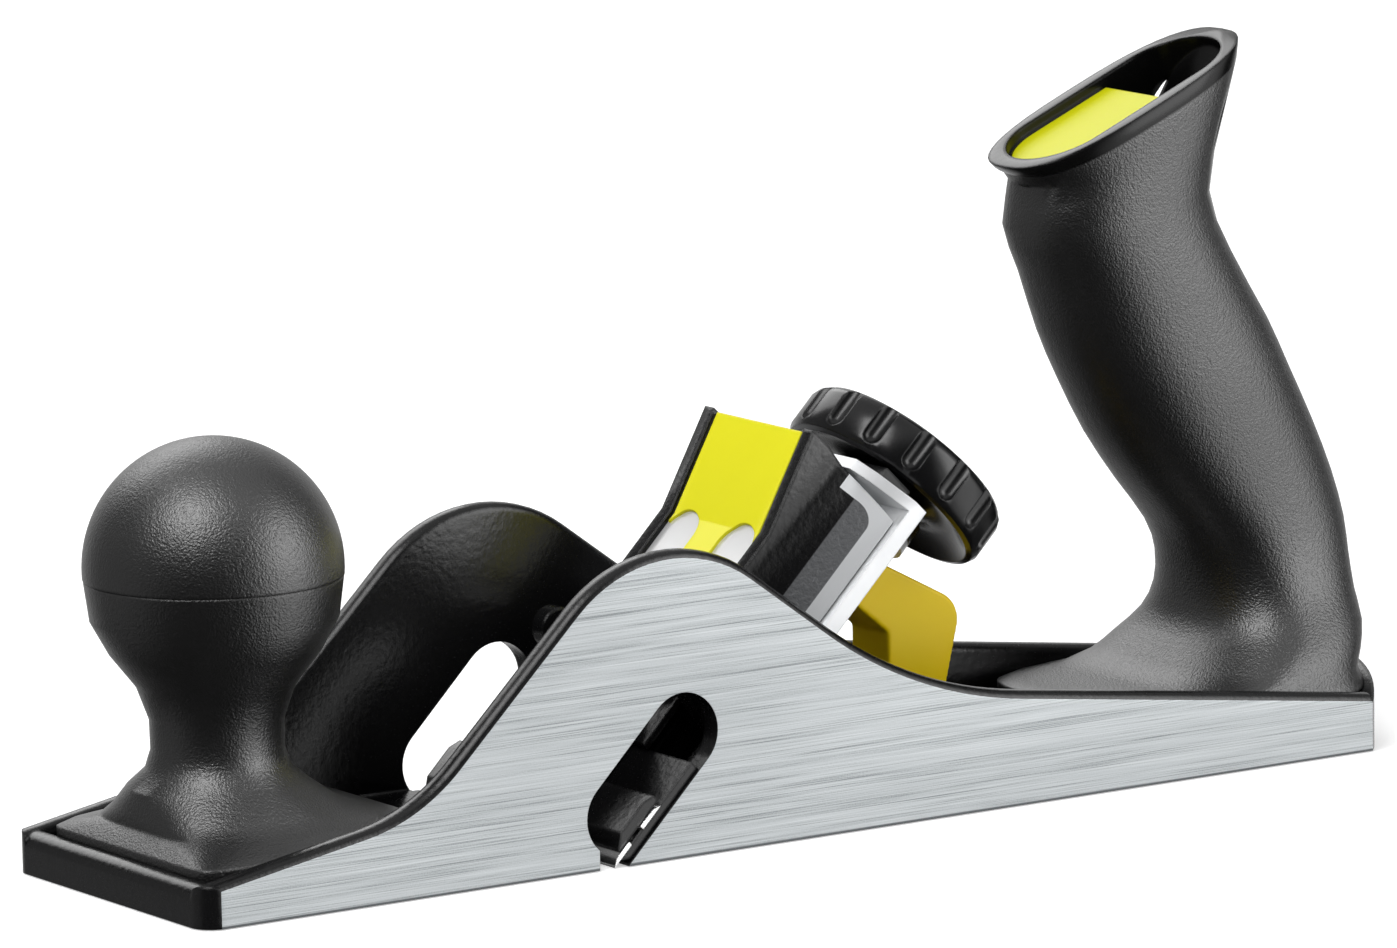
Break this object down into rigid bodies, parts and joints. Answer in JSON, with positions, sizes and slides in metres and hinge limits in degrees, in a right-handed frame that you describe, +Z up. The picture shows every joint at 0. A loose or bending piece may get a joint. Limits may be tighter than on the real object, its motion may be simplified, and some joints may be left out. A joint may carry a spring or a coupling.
{
  "type": "combination plane",
  "caption": "Bench and rebate hand plane: humped metal body slotted for a full-width blade, ball knob, open-topped handle with blade drawer, lever cap, depth wheel and lateral lever.",
  "frame": {"origin": "middle of the body's length and width, on the sole", "axes": "+X from toe to heel, +Y across the body to the far cheek, +Z up from the sole"},
  "size_m": [0.2444, 0.06, 0.1218],
  "materials": {
    "ground_body": "ground cheeks and sole, black lacquer inside and on the top edges",
    "black_grip": "fine moulded grain",
    "zinc_screw": "bright zinc",
    "yellow_plastic": "moulded, slightly glossy",
    "yellow_label": "yellow enamel, left bare",
    "blade_steel": "ground",
    "bright_casting": "satin casting with ground edges",
    "black_lacquer": "black lacquer, gloss",
    "bright_plate": "satin",
    "black_wheel": "moulded, gloss",
    "brass_nut": "machined"
  },
  "bodies": {
    "base": {"body": "ground_body", "knob_base": "black_grip", "knob_cap": "black_grip", "knob_bolt": "zinc_screw", "knob_washer": "zinc_screw", "handle": "black_grip", "handle_bolt": "zinc_screw", "handle_washer": "zinc_screw", "frog": "bright_casting", "frog_screws": "zinc_screw", "frog_washers": "zinc_screw", "cap_pin": "zinc_screw", "thrust_collar": "black_lacquer", "collar_screws": "zinc_screw"},
    "wheel": {"adjusting_screw": "zinc_screw", "depth_wheel": "black_wheel", "wheel_screw": "zinc_screw"},
    "nut_slide": {"drive_nut": "brass_nut"},
    "blade_carriage": {"blade_carrier": "black_lacquer", "blade": "blade_steel"},
    "lateral_lever": {"lateral_lever": "yellow_plastic", "lever_pin": "zinc_screw"},
    "lever_cap": {"lever_cap": "black_lacquer", "pressure_plate": "bright_plate", "label_plate": "yellow_label"},
    "clamp_foot": {"clamp_foot": "black_lacquer"},
    "drawer": {"blade_drawer": "yellow_plastic", "spare_blades": "blade_steel"}
  },
  "joints": [
    {"name": "depth_wheel_turn", "type": "hinge", "parent": "base", "child": "wheel", "pos_m": [0.01974, 0, 0.03924], "axis": [0.7071, 0, 0.7071], "range_deg": [-288, 432]},
    {"name": "depth_slide", "type": "slide", "parent": "base", "child": "nut_slide", "axis": [0.7071, 0, 0.7071], "range_m": [-0.0008, 0.0012]},
    {"name": "blade_skew", "type": "hinge", "parent": "nut_slide", "child": "blade_carriage", "pos_m": [-0.03011, 0, 0.01414], "axis": [-0.7071, 0, 0.7071], "range_deg": [-1.3, 1.3]},
    {"name": "lateral_lever_swing", "type": "hinge", "parent": "base", "child": "lateral_lever", "pos_m": [0.01974, 0, 0.03924], "axis": [0.7071, 0, 0.7071], "range_deg": [-4, 4]},
    {"name": "cap_swing", "type": "hinge", "parent": "base", "child": "lever_cap", "pos_m": [-0.02346, 0, 0.03012], "axis": [0, -1, 0], "range_deg": [0, 70]},
    {"name": "clamp_lift", "type": "slide", "parent": "base", "child": "clamp_foot", "axis": [-0.7071, 0, 0.7071], "range_m": [0, 0.0004]},
    {"name": "drawer_slide", "type": "slide", "parent": "base", "child": "drawer", "axis": [-0.3907, 0, 0.9205], "range_m": [0, 0.055]}
  ],
  "couplings": [
    {"joint": "depth_wheel_turn", "follows": "depth_slide", "rad_per_m": 6283},
    {"joint": "blade_skew", "follows": "lateral_lever_swing", "ratio": -0.3138},
    {"joint": "clamp_lift", "follows": "cap_swing", "m_per_rad": 0.000245}
  ]
}
